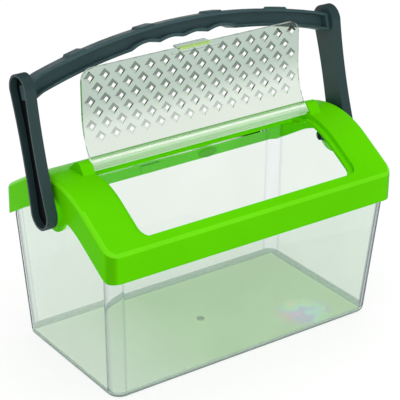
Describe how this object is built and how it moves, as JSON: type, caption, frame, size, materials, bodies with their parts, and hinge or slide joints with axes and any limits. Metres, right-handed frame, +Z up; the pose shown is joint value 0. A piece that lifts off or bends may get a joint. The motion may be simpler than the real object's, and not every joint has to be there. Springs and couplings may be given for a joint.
{
  "type": "plastic pet keeper",
  "caption": "Clear plastic tub with a pitched lid, a curved perforated hatch hinged along the ridge, and an arched swing handle clipped to the lid's ends.",
  "frame": {"origin": "centre of the tub's underside, on the surface that the tub stands on", "axes": "+X along the length, -Y towards the side that the hatch closes over, +Z up"},
  "size_m": [0.2726, 0.142, 0.2335],
  "materials": {
    "tub_clear": "polished clear",
    "hatch_clear": "polished clear",
    "lid_green": "gloss",
    "handle_dark": "satin"
  },
  "bodies": {
    "tub": {"tub": "tub_clear"},
    "lid": {"lid_frame": "lid_green"},
    "hatch": {"hatch": "hatch_clear"},
    "handle": {"grip_bar": "handle_dark", "left_arm": "handle_dark", "right_arm": "handle_dark"}
  },
  "joints": [
    {"name": "lid_lift", "type": "slide", "parent": "tub", "child": "lid", "axis": [0, 0, 1], "range_m": [0, 0.085]},
    {"name": "hatch_hinge", "type": "hinge", "parent": "lid", "child": "hatch", "pos_m": [0, 0.001, 0.15], "axis": [1, 0, 0], "range_deg": [0, 122.5]},
    {"name": "handle_pivot", "type": "hinge", "parent": "lid", "child": "handle", "pos_m": [0, 0, 0.1255], "axis": [-1, 0, 0], "range_deg": [0, 102]}
  ]
}
